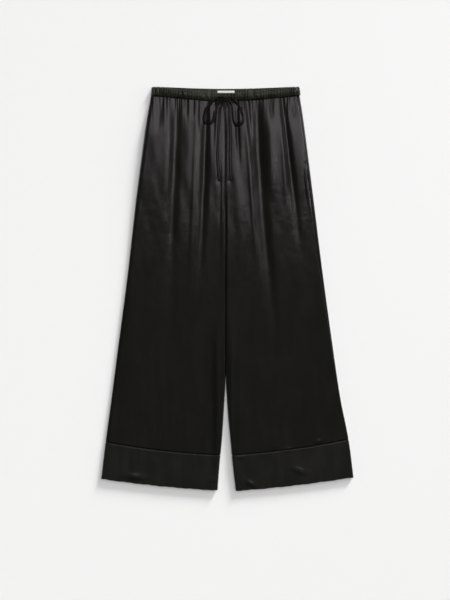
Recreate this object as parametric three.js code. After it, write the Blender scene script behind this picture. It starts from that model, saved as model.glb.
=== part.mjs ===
// Wide-leg satin trousers with an elasticated drawcord waist and deep hem bands, laid flat on their back.
// Millimetres. +X is the wearer's left, +Y runs to the waist, +Z is up from the surface they lie on.
// A drop is a distance down the garment from its waist edge, and across is measured from its front crease.
import * as THREE from "three";

const { lerp, smoothstep, clamp, degToRad } = THREE.MathUtils;

// Cloth and seams
const LENGTH = 1049; // waist edge to the lowest hem corner
const MIDDLE = -4.5; // the front crease, from the origin midway between the hem's outer corners
const CLOTH = 1.2; // wall of a leg panel
const HEM_CLOTH = 2; // wall of a hem band, which is cloth folded double
const CASING = 3; // wall of the waistband, which is cloth round an elastic
const SEAM = 0.3; // gap between pieces that are sewn together
const CROTCH = 304; // drop of the point where the four leg panels meet
const CROTCH_EASE = 70; // length over which the inner edge turns into a rolled inseam

// Side edges of the garment as it lies, from the middle, for the wearer's right and left
const OUTLINE = [
  { drop: 0, right: 190, left: 190 },
  { drop: 23, right: 193.5, left: 192.5 },
  { drop: 86, right: 204, left: 202 },
  { drop: 190, right: 218, left: 215.5 },
  { drop: 294, right: 232, left: 228.5 },
  { drop: 502, right: 256, left: 254.5 },
  { drop: 710, right: 283.5, left: 283.5 },
  { drop: 814, right: 297.5, left: 300 },
  { drop: 918, right: 311.5, left: 320.5 },
  { drop: 1050, right: 327.5, left: 337 },
];

// Inner edges of the legs from the middle: they touch down to the knee and then part
const INSEAM = [
  { drop: 700, right: 0.15, left: 0.15 },
  { drop: 762, right: 2.3, left: 3 },
  { drop: 855, right: 7.5, left: 8.2 },
  { drop: 918, right: 11.2, left: 14 },
  { drop: 980, right: 16.4, left: 19.2 },
  { drop: 1050, right: 21.5, left: 27 },
];

// Drops of the hem band's seam and of the hem, at the inner and the outer edge of a leg
const HEM = {
  right: { seamInner: 956, seamOuter: 924, endInner: 1048, endOuter: 1019 },
  left: { seamInner: 956, seamOuter: 917, endInner: 1049, endOuter: 1015 },
};
const HEM_BOW = 5; // how far the middle of a hem line hangs below a straight one

// How high the front panels stand off the back ones
const LOFT = [
  { drop: 20, loft: 5.6 },
  { drop: 120, loft: 7.6 },
  { drop: 300, loft: 6.4 },
  { drop: 500, loft: 5 },
  { drop: 720, loft: 4.5 },
  { drop: 940, loft: 4.2 },
  { drop: 1050, loft: 4 },
];

// Troughs of the folds that hang from the gathered waist: across at the waist and where the fold dies out,
// the drop where it does, the share of the loft that it takes away, its half width, and how it bends
const FOLDS = [
  { at: -168, end: -175, to: 130, cut: 0.35, half: 8, bend: 1 },
  { at: -126, end: -148, to: 600, cut: 0.85, half: 13, bend: 1 },
  { at: -100, end: -101, to: 90, cut: 0.4, half: 5.5, bend: 1 },
  { at: -84, end: -85, to: 90, cut: 0.4, half: 5.5, bend: 1 },
  { at: -64, end: -65, to: 130, cut: 0.45, half: 6, bend: 1 },
  { at: -50, end: -74, to: 620, cut: 0.7, half: 10, bend: 1.4 },
  { at: -30, end: -31, to: 200, cut: 0.35, half: 7, bend: 1 },
  { at: 0, end: -1, to: 330, cut: 0.1, half: 4.5, bend: 1 },
  { at: 26, end: 27, to: 120, cut: 0.4, half: 6, bend: 1 },
  { at: 56, end: 68, to: 170, cut: 0.4, half: 7, bend: 1 },
  { at: 80, end: 150, to: 800, cut: 0.92, half: 14, bend: 1.5 },
  { at: 118, end: 119, to: 95, cut: 0.4, half: 5.5, bend: 1 },
  { at: 145, end: 201, to: 480, cut: 0.6, half: 9, bend: 1 },
  { at: 176, end: 180, to: 95, cut: 0.25, half: 6, bend: 1 },
];
const FOLD_HOLDS = 0.4; // share of its reach over which a fold keeps its depth

// Waist
const WAIST_SEAM = 23.5; // drop of the band's seam at the sides
const WAIST_ARC = 186; // half width over which the waist lines dip
const SEAM_DIP = { front: 12.5, back: 5.2 }; // how far the seam is lower in the middle
const EDGE_DIP = { front: 15.4, back: 5.2 }; // how far the waist edge is lower in the middle
const EDGE_DROP = { front: 1, back: 0 };
const BAND_LEVEL = { front: 5.8, back: CASING / 2 }; // heights of the middle of the casing
const PUFF = 0.8; // how far the casing swells between its edges
const GATHERS = 56; // gathers across the band
const GATHER_RISE = 0.55;
const GATHER_COLUMNS = 3; // columns of the band's wall in each gather
// Gathers crowd and spread: their count runs ahead and back by some turns over a length of the band
const GATHER_WANDERS = [
  { turns: 0.9, length: 145, start: 0 },
  { turns: 0.5, length: 60, start: 2 },
];
const GATHER_FADE = { share: 0.35, length: 195, start: 1 }; // shallower stretches of the gathers
const INSIDE_SHARE = 0.6; // depth of the back band's gathers, which show on its inside

// Rolled edges
const ROLL = 10; // widest roll of a leg's side edge
const INNER_ROLL = 6; // widest roll of its inseam edge
const BEND_SHARE = 0.75; // share of the tightest roll that a wall can make without crossing itself
const SEAM_TURN = { right: -60, left: 68 }; // degrees round the roll, where the side seam lies at the hip
const TURN_ENDS = { from: 360, to: 880 }; // drops over which the side seam comes back to the edge

// Pocket mouth in the left side seam, and the strip of facing that shows in it
const POCKET = { from: 205, opens: 40, closes: 70, to: 345, gape: 2.6, facing: 1, past: 12 };
const FACING_STATIONS = { inner: 0.99, outer: 1.5 };

// Drawcord
const CORD = 4;
const CORD_SIDES = 8;
const CORD_FEEL = 1.4; // spacing of the places that are felt for the cloth under the cord
const TAIL_STEPS = 22;
const LOOP_STEPS = 18;
const KNOT = { across: 0.5, drop: 29, radius: 5 };
const END_KNOT_RADIUS = 3.3;
// Where the cord leaves the knot, in degrees round it from the wearer's left, turning towards the hem
const LEAVES = {
  right: { loopOut: 207, loopBack: 160, tail: 113 },
  left: { loopOut: -27, loopBack: 20, tail: 67 },
};
// Routes of the cord over the front beyond the knot, as pairs of across and drop
const TAIL_ROUTES = {
  right: [[-7, 44], [-13, 58], [-17.5, 78], [-19.5, 112], [-21, 164], [-20, 203], [-17.5, 228], [-16.4, 238]],
  left: [[7, 46], [10.5, 73], [11.9, 138], [11.3, 190], [12.2, 221], [13.6, 238]],
};
const LOOP_ROUTES = {
  right: [
    [-23, 29], [-41, 47], [-50, 63], [-55, 80], [-53, 91],
    [-44, 95], [-34, 92], [-29, 82], [-26, 66], [-19, 47],
  ],
  left: [
    [20, 31], [38.5, 56], [46.5, 78], [45.5, 92], [36.5, 99.5],
    [26.5, 97], [21.5, 86], [19.5, 68], [17, 49],
  ],
};

const LABEL = { across: 0.9, drop: 12.2, width: 44, height: 7, thick: 1 };

const SIDES = { right: -1, left: 1 };
const SATIN = { color: 0x1b1a1b, roughness: 0.42, metalness: 0 };
const MATT = { color: 0x2a2b28, roughness: 0.7, metalness: 0 };
const WHITE = { color: 0xf1f0ec, roughness: 0.8, metalness: 0 };

// Value of a column of a table at a drop, on a smooth curve through its rows
function readTable(table, column, drop) {
  const found = table.findIndex((row) => row.drop > drop);
  const i = found < 0 ? table.length - 1 : Math.max(found, 1);
  const [a, b] = [table[i - 1], table[i]];
  const before = table[Math.max(i - 2, 0)];
  const beyond = table[Math.min(i + 1, table.length - 1)];
  const span = b.drop - a.drop;
  const t = clamp((drop - a.drop) / span, 0, 1);
  const slopeA = (span * (b[column] - before[column])) / (b.drop - before.drop);
  const slopeB = (span * (beyond[column] - a[column])) / (beyond.drop - a.drop);
  const rise = t * t * (3 - 2 * t);
  return lerp(a[column], b[column], rise) + t * (1 - t) * ((1 - t) * slopeA - t * slopeB);
}

const heightUp = (drop) => LENGTH / 2 - drop;
const waistDip = (across) => Math.max(0, 1 - (across / WAIST_ARC) ** 2) ** 1.5;
const waistSeam = (across, face) => WAIST_SEAM + SEAM_DIP[face] * waistDip(across);
const waistEdge = (across, face) => EDGE_DROP[face] + EDGE_DIP[face] * waistDip(across);

// Drop of the hem band's seam or of the hem, from the inner edge at 0 to the outer edge at 1
function hemLine(side, line, share) {
  const straight = lerp(HEM[side][`${line}Inner`], HEM[side][`${line}Outer`], share);
  return straight + HEM_BOW * 4 * share * (1 - share);
}

// Height of the middle of the front panel's wall over the surface that the garment lies on
function frontHeight(across, drop) {
  let loft = readTable(LOFT, "loft", drop);
  for (const { at, end, to, cut, half, bend } of FOLDS) {
    const along = clamp((drop - WAIST_SEAM) / (to - WAIST_SEAM), 0, 1);
    const away = (across - lerp(at, end, along ** bend)) / half;
    loft *= 1 - cut * (1 - smoothstep(along, FOLD_HOLDS, 1)) * Math.exp(-away * away);
  }
  return CLOTH + SEAM + loft + CLOTH / 2;
}

// A point in the middle of a leg's wall, and the wall's normal there, both in a section across the garment.
// A station runs round the leg: -1 the inseam, 0 to 1 over the front, 2 the side edge,
// 3 to 4 under the back, and 5 the inseam again.
function legPoint(side, drop, station, wall) {
  const sign = SIDES[side];
  const half = wall / 2;
  const edge = readTable(OUTLINE, side, drop) - half;
  const inner = readTable(INSEAM, side, drop);
  const rise = half - CLOTH / 2; // a thicker wall stands this much higher
  const level = (across) => frontHeight(sign * across, drop) + rise;
  const rollOf = (widest, across) => {
    const radius = (level(across) - half) / 2;
    return Math.min(widest, (BEND_SHARE * radius * radius) / half);
  };
  const outerRoll = rollOf(ROLL, edge - ROLL);
  const innerRoll = rollOf(INNER_ROLL, inner + INNER_ROLL);
  const [from, to] = [inner + innerRoll + half, edge - outerRoll];
  const bend = (centre, roll, way, angle) => {
    const top = level(centre);
    const radius = (top - half) / 2;
    const normal = new THREE.Vector2((way * Math.cos(angle)) / roll, Math.sin(angle) / radius).normalize();
    return {
      x: centre + way * roll * Math.cos(angle),
      z: (top + half) / 2 + radius * Math.sin(angle),
      nx: normal.x,
      nz: normal.y,
    };
  };
  const over = (across) => {
    const step = 1;
    const slope = (level(across + step) - level(across - step)) / (2 * step);
    const long = Math.hypot(slope, 1);
    return { x: across, z: level(across), nx: -slope / long, nz: 1 / long };
  };
  const under = (across) => ({ x: across, z: half, nx: 0, nz: -1 });

  let point;
  if (station > 0 && station <= 1) point = over(lerp(from, to, station));
  else if (station > 1 && station < 3) point = bend(to, outerRoll, 1, degToRad(90 * (2 - station)));
  else if (station >= 3 && station < 4) point = under(lerp(to, from, station - 3));
  else {
    const front = station <= 0;
    const turned = front ? -station : station - 4; // 0 on the flat, 1 at the inseam
    const across = lerp(from, inner, turned);
    const flat = front ? over(across) : under(across);
    if (front && turned === 1) Object.assign(flat, { nx: 0, nz: 1 });
    const angle = degToRad(90 * (1 - turned)) * (front ? 1 : -1);
    const round = bend(from, innerRoll, -1, angle);
    const wrap = smoothstep(drop, CROTCH, CROTCH + CROTCH_EASE);
    point = {};
    for (const key of ["x", "z", "nx", "nz"]) point[key] = lerp(flat[key], round[key], wrap);
    if (turned === 1) point.z += ((front ? 1 : -1) * wrap * SEAM) / 2;
    const long = Math.hypot(point.nx, point.nz);
    point.nx /= long;
    point.nz /= long;
  }
  return { ...point, x: sign * point.x, nx: sign * point.nx };
}

// Station of the side seam, on the edge of the front or of the back panel
function seamStation(side, drop, face) {
  const turn = SEAM_TURN[side] * (1 - smoothstep(drop, TURN_ENDS.from, TURN_ENDS.to));
  const rollStarts = SIDES[side] * (readTable(OUTLINE, side, drop) - ROLL);
  const radius = (frontHeight(rollStarts, drop) - CLOTH / 2) / 2;
  const angle = degToRad(turn);
  // Length along the roll for each radian
  const stretch = Math.hypot(ROLL * Math.sin(angle), radius * Math.cos(angle));
  const opening = smoothstep(drop, POCKET.from, POCKET.from + POCKET.opens);
  const mouth = opening * (1 - smoothstep(drop, POCKET.to - POCKET.closes, POCKET.to));
  const gape = side === "left" && face === "front" ? POCKET.gape * mouth : 0;
  const away = (SEAM / 2 + gape) / stretch / degToRad(90);
  return 2 - turn / 90 + (face === "front" ? -away : away);
}

// Closed wall from a grid of outer and inner points
function wallGeometry(rows, columns, place) {
  const points = [[], []];
  for (let r = 0; r < rows; r++) {
    for (let c = 0; c < columns; c++) {
      const { outer, inner } = place(r / (rows - 1), c / (columns - 1));
      points[0].push(outer);
      points[1].push(inner);
    }
  }
  const at = (layer, r, c) => layer * rows * columns + r * columns + c;
  const index = [];
  const quad = (a, b, c, d) => index.push(a, b, c, a, c, d);
  for (let r = 0; r < rows - 1; r++) {
    for (let c = 0; c < columns - 1; c++) {
      quad(at(0, r, c), at(0, r + 1, c), at(0, r + 1, c + 1), at(0, r, c + 1));
      quad(at(1, r, c), at(1, r, c + 1), at(1, r + 1, c + 1), at(1, r + 1, c));
    }
    quad(at(0, r, 0), at(1, r, 0), at(1, r + 1, 0), at(0, r + 1, 0));
    quad(at(0, r + 1, columns - 1), at(1, r + 1, columns - 1), at(1, r, columns - 1), at(0, r, columns - 1));
  }
  for (let c = 0; c < columns - 1; c++) {
    quad(at(0, 0, c + 1), at(1, 0, c + 1), at(1, 0, c), at(0, 0, c));
    quad(at(0, rows - 1, c), at(1, rows - 1, c), at(1, rows - 1, c + 1), at(0, rows - 1, c + 1));
  }
  const all = points.flat();
  const volume = index.reduce((sum, _, i) => {
    if (i % 3) return sum;
    const [a, b, c] = [all[index[i]], all[index[i + 1]], all[index[i + 2]]];
    return sum + a.dot(new THREE.Vector3().crossVectors(b, c));
  }, 0);
  if (volume < 0) index.reverse(); // the wearer's right side is a mirror image
  return new THREE.BufferGeometry().setFromPoints(all).setIndex(index);
}

// Outer and inner points of a wall, moved out and in from the middle of it
function bothFaces(point, drop, out, into) {
  const moved = (by) => new THREE.Vector3(point.x + by * point.nx, heightUp(drop), point.z + by * point.nz);
  return { outer: moved(out), inner: moved(-into) };
}

// Stations of a panel's columns: close together on its rolled edges and evenly spread between them
function spreadStations(panel, side, drop, share) {
  const seam = seamStation(side, drop, panel.face);
  const [start, end] = panel.face === "front" ? [-1, seam] : [5, seam];
  const [flatStart, flatEnd] = panel.face === "front" ? [0, 1] : [4, 3];
  const column = Math.round(share * (panel.columns - 1));
  const lastFlat = panel.columns - 1 - panel.outerColumns;
  if (column < panel.innerColumns) return lerp(start, flatStart, column / panel.innerColumns);
  if (column > lastFlat) return lerp(flatEnd, end, (column - lastFlat) / panel.outerColumns);
  return lerp(flatStart, flatEnd, (column - panel.innerColumns) / (lastFlat - panel.innerColumns));
}

// A panel of one leg between two lines across it
function legPanel(side, panel, wall, lineAbove, lineBelow) {
  return wallGeometry(panel.rows, panel.columns, (down, along) => {
    const nominal = spreadStations(panel, side, CROTCH, along);
    const share = panel.face === "front" ? clamp(nominal, 0, 1) : clamp(4 - nominal, 0, 1);
    const drop = lerp(lineAbove(share), lineBelow(share), down ** panel.crowd);
    const station = spreadStations(panel, side, drop, along);
    return bothFaces(legPoint(side, drop, station, wall), drop, wall / 2, wall / 2);
  });
}

function leg(side, face) {
  const top = (share) => {
    const across = lerp(INNER_ROLL, readTable(OUTLINE, side, WAIST_SEAM) - ROLL, share);
    return (share === 1 ? WAIST_SEAM : waistSeam(across, face)) + SEAM / 2;
  };
  const panel =
    face === "front"
      ? { face, rows: 21, columns: 43, innerColumns: 4, outerColumns: 5, crowd: 1.25 }
      : { face, rows: 12, columns: 18, innerColumns: 4, outerColumns: 6, crowd: 1 };
  return legPanel(side, panel, CLOTH, top, (share) => hemLine(side, "seam", share) - SEAM / 2);
}

function hemBand(side, face) {
  const panel = { face, rows: 4, columns: 22, innerColumns: 4, outerColumns: 4, crowd: 1 };
  const above = (share) => hemLine(side, "seam", share) + SEAM / 2;
  return legPanel(side, panel, HEM_CLOTH, above, (share) => hemLine(side, "end", share));
}

// Rise of the casing's gathers, uneven in depth and spacing
function gatherRise(across) {
  const wave = ({ length, start }) => Math.sin((2 * Math.PI * across) / length + start);
  let turns = (GATHERS * across) / (2 * OUTLINE[0].right);
  for (const wander of GATHER_WANDERS) turns += wander.turns * wave(wander);
  const depth = 1 - GATHER_FADE.share * (1 - wave(GATHER_FADE));
  return GATHER_RISE * depth * Math.sin(2 * Math.PI * turns);
}

// Half of the waistband, from side seam to side seam
function waistband(face) {
  const up = face === "front" ? 1 : -1;
  const half = CASING / 2;
  const radius = (BAND_LEVEL.front - BAND_LEVEL.back) / 2;
  const middle = BAND_LEVEL.back + radius;
  const rollColumns = 3;
  const columns = GATHER_COLUMNS * GATHERS + 2 * rollColumns;
  return wallGeometry(4, columns, (down, along) => {
    const column = Math.round(along * (columns - 1));
    const fromEnd = Math.min(column, columns - 1 - column);
    const sideways = column < columns / 2 ? "right" : "left";
    const sign = SIDES[sideways];
    const angle = degToRad(90) * Math.min(1, fromEnd / rollColumns);
    const flat = clamp((column - rollColumns) / (columns - 1 - 2 * rollColumns), 0, 1);
    const roughAcross = lerp(-OUTLINE[0].right, OUTLINE[0].left, flat);
    const drop = lerp(waistEdge(roughAcross, face), waistSeam(roughAcross, face) - SEAM / 2, down);
    const rollStarts = (side) => SIDES[side] * (readTable(OUTLINE, side, drop) - half - radius);
    const across = lerp(rollStarts("right"), rollStarts("left"), flat) + sign * radius * Math.cos(angle);
    const point = {
      x: across,
      z: middle + up * (radius * Math.sin(angle) + (fromEnd ? 0 : SEAM / 2)),
      nx: sign * Math.cos(angle),
      nz: up * Math.sin(angle),
    };
    const swell = Math.sin(Math.PI * down) * (PUFF + gatherRise(across));
    if (face === "front") return bothFaces(point, drop, half + swell, half);
    const insideSwell = fromEnd < rollColumns ? 0 : Math.max(0, INSIDE_SHARE * swell);
    return bothFaces(point, drop, half, half + insideSwell);
  });
}

// Facing strip under the two edges of the pocket mouth
function pocketFacing() {
  const [columns, rows] = [5, 9];
  return wallGeometry(rows, columns, (down, along) => {
    const drop = lerp(POCKET.from - POCKET.past, POCKET.to + POCKET.past, down);
    const station = lerp(FACING_STATIONS.inner, FACING_STATIONS.outer, along);
    const point = legPoint("left", drop, station, CLOTH);
    const depth = CLOTH / 2 + SEAM;
    return bothFaces(point, drop, -depth, depth + POCKET.facing);
  });
}

// Highest point of the front of the garment within a little distance of a place
function coverHeight(across, drop) {
  let highest = 0;
  for (let i = -2; i <= 2; i++) {
    for (let j = -2; j <= 2; j++) {
      const [x, d] = [across + i * CORD_FEEL, drop + j * CORD_FEEL];
      const onBand = d < waistSeam(x, "front") + 1;
      const band = BAND_LEVEL.front + CASING / 2 + PUFF + GATHER_RISE;
      highest = Math.max(highest, onBand ? band : 0, frontHeight(x, d) + CLOTH / 2);
    }
  }
  return highest;
}

function onFront(across, drop, above) {
  return new THREE.Vector3(across, heightUp(drop), coverHeight(across, drop) + above);
}

// Point beside the knot where a stretch of the cord starts or ends
function atKnot(side, stretch) {
  const angle = degToRad(LEAVES[side][stretch]);
  const away = KNOT.radius + SEAM;
  return [KNOT.across + away * Math.cos(angle), KNOT.drop + away * Math.sin(angle)];
}

// A stretch of cord that lies on the front along a route
function cordGeometry(route, steps) {
  const plan = new THREE.CatmullRomCurve3(route.map(([across, drop]) => new THREE.Vector3(across, drop, 0)));
  const points = plan.getSpacedPoints(steps).map((p) => onFront(p.x, p.y, CORD / 2 + SEAM));
  const section = new THREE.Shape();
  for (let i = 0; i < CORD_SIDES; i++) {
    const angle = (2 * Math.PI * i) / CORD_SIDES;
    section[i ? "lineTo" : "moveTo"]((CORD / 2) * Math.cos(angle), (CORD / 2) * Math.sin(angle));
  }
  return new THREE.ExtrudeGeometry(section, {
    steps,
    bevelEnabled: false,
    extrudePath: new THREE.CatmullRomCurve3(points),
  });
}

const trousers = new THREE.Group();
trousers.position.x = MIDDLE;

function add(name, geometry, finish, place = [0, 0, 0]) {
  const mesh = new THREE.Mesh(geometry, new THREE.MeshStandardMaterial(finish));
  mesh.name = name;
  mesh.position.set(...place);
  trousers.add(mesh);
  return mesh;
}

for (const face of ["back", "front"]) {
  for (const side of Object.keys(SIDES)) {
    add(`${face}_leg_${side}`, leg(side, face), SATIN);
    add(`hem_band_${face}_${side}`, hemBand(side, face), SATIN);
  }
  add(`waistband_${face}`, waistband(face), MATT);
}
add("pocket_facing_left", pocketFacing(), SATIN);

const bandInside = BAND_LEVEL.back + CASING / 2 + INSIDE_SHARE * (PUFF + GATHER_RISE);
const label = new THREE.BoxGeometry(LABEL.width, LABEL.height, LABEL.thick);
add("waist_label", label, WHITE, [LABEL.across, heightUp(LABEL.drop), bandInside + SEAM + LABEL.thick / 2]);

const knot = add("drawcord_knot", new THREE.SphereGeometry(KNOT.radius, 12, 8), SATIN);
knot.position.copy(onFront(KNOT.across, KNOT.drop, KNOT.radius + SEAM));
for (const side of Object.keys(SIDES)) {
  const tail = [atKnot(side, "tail"), ...TAIL_ROUTES[side]];
  const loop = [atKnot(side, "loopOut"), ...LOOP_ROUTES[side], atKnot(side, "loopBack")];
  add(`drawcord_tail_${side}`, cordGeometry(tail, TAIL_STEPS), SATIN);
  add(`drawcord_loop_${side}`, cordGeometry(loop, LOOP_STEPS), SATIN);
  const [across, drop] = TAIL_ROUTES[side].at(-1);
  const end = add(`drawcord_end_${side}`, new THREE.SphereGeometry(END_KNOT_RADIUS, 10, 6), SATIN);
  end.position.copy(onFront(across, drop + END_KNOT_RADIUS + SEAM, END_KNOT_RADIUS + SEAM));
}

export default trousers;
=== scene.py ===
import bpy
import numpy as np
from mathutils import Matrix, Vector


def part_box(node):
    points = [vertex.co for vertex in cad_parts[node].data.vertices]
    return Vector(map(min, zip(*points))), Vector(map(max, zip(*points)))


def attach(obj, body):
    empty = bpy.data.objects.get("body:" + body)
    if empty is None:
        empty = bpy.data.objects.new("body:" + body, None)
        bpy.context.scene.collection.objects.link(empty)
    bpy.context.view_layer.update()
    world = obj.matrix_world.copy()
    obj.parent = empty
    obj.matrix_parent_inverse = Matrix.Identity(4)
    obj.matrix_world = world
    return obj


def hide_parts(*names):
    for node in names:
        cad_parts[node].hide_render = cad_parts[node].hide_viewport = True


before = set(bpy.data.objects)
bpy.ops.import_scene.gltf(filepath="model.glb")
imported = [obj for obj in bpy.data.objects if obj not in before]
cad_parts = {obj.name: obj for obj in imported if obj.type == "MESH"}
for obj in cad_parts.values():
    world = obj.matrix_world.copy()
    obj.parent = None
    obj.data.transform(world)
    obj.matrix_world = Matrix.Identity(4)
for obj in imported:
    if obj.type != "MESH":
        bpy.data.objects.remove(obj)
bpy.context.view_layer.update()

# Camera
# The trousers lie flat. The photo shows them from straight above, through a long lens.
MM = 0.001
PHOTO_MM = 2.6  # mm of the garment in one pixel of the photograph
PHOTO_SIZE = (450, 600)  # pixels
ORIGIN_PIXEL = (227.3, 288.75)  # where the row's origin shows in the photograph
CAMERA_HEIGHT = 3600  # mm
SENSOR = 36

camera_data = bpy.data.cameras.new("camera")
camera_data.sensor_fit = "VERTICAL"
camera_data.sensor_height = SENSOR
camera_data.lens = SENSOR * CAMERA_HEIGHT / (PHOTO_SIZE[1] * PHOTO_MM)
camera_data.clip_end = 20  # m
camera = bpy.data.objects.new("camera", camera_data)
camera.location = (
    (PHOTO_SIZE[0] / 2 - ORIGIN_PIXEL[0]) * PHOTO_MM * MM,
    (ORIGIN_PIXEL[1] - PHOTO_SIZE[1] / 2) * PHOTO_MM * MM,
    CAMERA_HEIGHT * MM,
)
bpy.context.collection.objects.link(camera)
bpy.context.scene.camera = camera

# Leg panels
# Four panels of black viscose satin, cut wide, gathered into the waist and sewn at the rise, the inseams and
# the outseams. The garment lies on its back panels, and its front panels lie on them in soft hanging folds.
LENGTH = 1049  # waist edge to the lowest hem corner
MIDDLE = -4.5  # the front crease, from the row's origin
CLOTH = 1.2  # wall of the solid panels, whose outer side the satin follows
SATIN_THICK = 0.7
SEAM = 0.3  # gap between pieces that are sewn together
CROTCH = 304  # drop of the point where the four leg panels meet
CROTCH_EASE = 70  # length over which the inner edge turns into a rolled inseam
CREASE_TOP = 262  # the crease between the legs starts a little above the crotch
SIDES = {"right": -1, "left": 1}

# Side edges of the garment as it lies, from the front crease, for the wearer's right and left
OUTLINE = [
    {"drop": 0, "right": 190, "left": 190},
    {"drop": 23, "right": 193.5, "left": 192.5},
    {"drop": 86, "right": 204, "left": 202},
    {"drop": 190, "right": 218, "left": 215.5},
    {"drop": 294, "right": 232, "left": 228.5},
    {"drop": 502, "right": 256, "left": 254.5},
    {"drop": 710, "right": 283.5, "left": 283.5},
    {"drop": 814, "right": 297.5, "left": 300},
    {"drop": 918, "right": 311.5, "left": 320.5},
    {"drop": 1050, "right": 327.5, "left": 337},
]
# Inner edges of the legs: they touch down to the knee and then part
INSEAM = [
    {"drop": 700, "right": 0, "left": 0},
    {"drop": 762, "right": 0.5, "left": 0.8},
    {"drop": 855, "right": 5.8, "left": 7.0},
    {"drop": 918, "right": 10.2, "left": 13.6},
    {"drop": 980, "right": 16.4, "left": 19.2},
    {"drop": 1050, "right": 21.5, "left": 27},
]
# Drops of the hem band's seam and of the hem at a leg's inner and outer edge, and how far the middle of each
# line hangs below a straight one
HEM = {
    "right": {"seam_inner": 956, "seam_outer": 924, "end_inner": 1048, "end_outer": 1019},
    "left": {"seam_inner": 956, "seam_outer": 917, "end_inner": 1049, "end_outer": 1015},
}
HEM_BOW = {"seam": 5, "end": 3.2}
LEG_WIDTH = 300  # of a leg near its hem, within a few mm
HEM_WAVES = [  # small waves of the soft lower edge
    {"lift": 0.4, "turns": 31},
    {"lift": 0.25, "turns": 83},
]
# How high the front panels stand off the back ones
LOFT = [
    {"drop": 20, "loft": 5.6},
    {"drop": 120, "loft": 7.6},
    {"drop": 300, "loft": 6.4},
    {"drop": 500, "loft": 5},
    {"drop": 720, "loft": 4.5},
    {"drop": 940, "loft": 4.2},
    {"drop": 1050, "loft": 4},
]
# Troughs of the folds that hang from the gathered waist: across at the waist and where the fold dies out,
# the drop where it does, the share of the loft that it takes away, its half width, and how it bends
FOLDS = [
    {"at": -168, "end": -175, "to": 130, "cut": 0.27, "half": 8, "bend": 1},
    {"at": -126, "end": -148, "to": 600, "cut": 0.6, "half": 13, "bend": 1},
    {"at": -100, "end": -101, "to": 90, "cut": 0.26, "half": 5.5, "bend": 1},
    {"at": -84, "end": -85, "to": 90, "cut": 0.26, "half": 5.5, "bend": 1},
    {"at": -64, "end": -65, "to": 130, "cut": 0.36, "half": 6, "bend": 1},
    {"at": -50, "end": -74, "to": 620, "cut": 0.62, "half": 10, "bend": 1.4},
    {"at": -30, "end": -31, "to": 200, "cut": 0.28, "half": 7, "bend": 1},
    {"at": 0, "end": -1, "to": 330, "cut": 0.1, "half": 4.5, "bend": 1},
    {"at": 27, "end": 36, "to": 230, "cut": 0.38, "half": 5, "bend": 1},
    {"at": 56, "end": 68, "to": 170, "cut": 0.4, "half": 7, "bend": 1},
    {"at": 80, "end": 150, "to": 800, "cut": 0.68, "half": 14, "bend": 1.5},
    {"at": 118, "end": 119, "to": 95, "cut": 0.28, "half": 5.5, "bend": 1},
    {"at": 145, "end": 201, "to": 480, "cut": 0.52, "half": 9, "bend": 1},
    {"at": 176, "end": 180, "to": 95, "cut": 0.25, "half": 6, "bend": 1},
]
FOLD_HOLDS = 0.4  # share of its reach over which a fold keeps its depth

WAIST_SEAM = 23.5  # drop of the waistband's seam at the sides
WAIST_ARC = 186  # half width over which the waist lines dip
SEAM_DIP = {"front": 12.5, "back": 5.2}  # how far the seam is lower in the middle
ROLL = 10  # widest roll of a leg's side edge
INNER_ROLL = 6  # widest roll of its inseam edge
BEND_SHARE = 0.75  # share of the tightest roll that a wall can make without crossing itself
SEAM_TURN = {"right": -60, "left": 68}  # degrees round the roll, where the side seam lies at the hip
TURN_ENDS = (360, 880)  # drops over which the side seam comes back to the edge
POCKET = {"from": 205, "opens": 40, "closes": 70, "to": 345, "gape": 2.6, "past": 12}

# Ridges and troughs finer than the folds, in mm: where they lie across at each end, the drops between which
# they run, how high they stand, and their half width
CREASES = [
    {"at": -178, "end": -192, "from": 50, "to": 300, "lift": 0.4, "half": 12},
    {"at": -148, "end": -158, "from": 30, "to": 380, "lift": 0.4, "half": 12},
    {"at": -94, "end": -98, "from": 40, "to": 300, "lift": 0.8, "half": 12},
    {"at": -74, "end": -92, "from": 40, "to": 520, "lift": 1.0, "half": 6},
    {"at": -22, "end": -20, "from": 150, "to": 420, "lift": 0.6, "half": 9},
    {"at": -7, "end": -7.5, "from": 180, "to": 480, "lift": 1.3, "half": 4.5},
    {"at": 20, "end": 44, "from": 120, "to": 480, "lift": 1.0, "half": 12},
    {"at": 52, "end": 80, "from": 60, "to": 460, "lift": 1.1, "half": 5.5},
    {"at": 112, "end": 122, "from": 30, "to": 300, "lift": 1.2, "half": 10},
    {"at": 143, "end": 158, "from": 30, "to": 330, "lift": 1.0, "half": 6},
    {"at": 190, "end": 206, "from": 60, "to": 400, "lift": 0.6, "half": 11},
    {"at": -230, "end": -262, "from": 380, "to": 900, "lift": 0.6, "half": 18},
    {"at": -120, "end": -190, "from": 420, "to": 960, "lift": -0.6, "half": 16},
    {"at": -60, "end": -96, "from": 520, "to": 960, "lift": 0.6, "half": 20},
    {"at": 70, "end": 110, "from": 430, "to": 930, "lift": 0.6, "half": 20},
    {"at": 214, "end": 262, "from": 400, "to": 900, "lift": -0.7, "half": 18},
]
# Slow swells that a soft cloth keeps when it is laid down by hand, in mm, and what is left of them low down
SWELLS = [
    {"across": 74, "down": 230, "lift": 0.2, "start": 0.4},
    {"across": 45, "down": 136, "lift": 0.14, "start": 2.1},
    {"across": 31, "down": 92, "lift": 0.08, "start": 4.2},
]
SWELLS_FADE = {"from": 300, "to": 560, "left": 0.22}
SWELLS_WANDER = {"down": 83, "across": 37}
# Beside the gap each leg swells a little and slopes down to its inseam
INNER_SWELL = {"lift": 3.4, "at": 18, "half": 13, "from": 560, "to": 760, "left": 0.75}
# Over both hips the cloth stands a little fuller under the waist, and slopes down from there
HIP_SWELL = {"lift": 2.8, "top": 130, "to": 430, "right": 105, "left": 85, "soft": 45}
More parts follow.
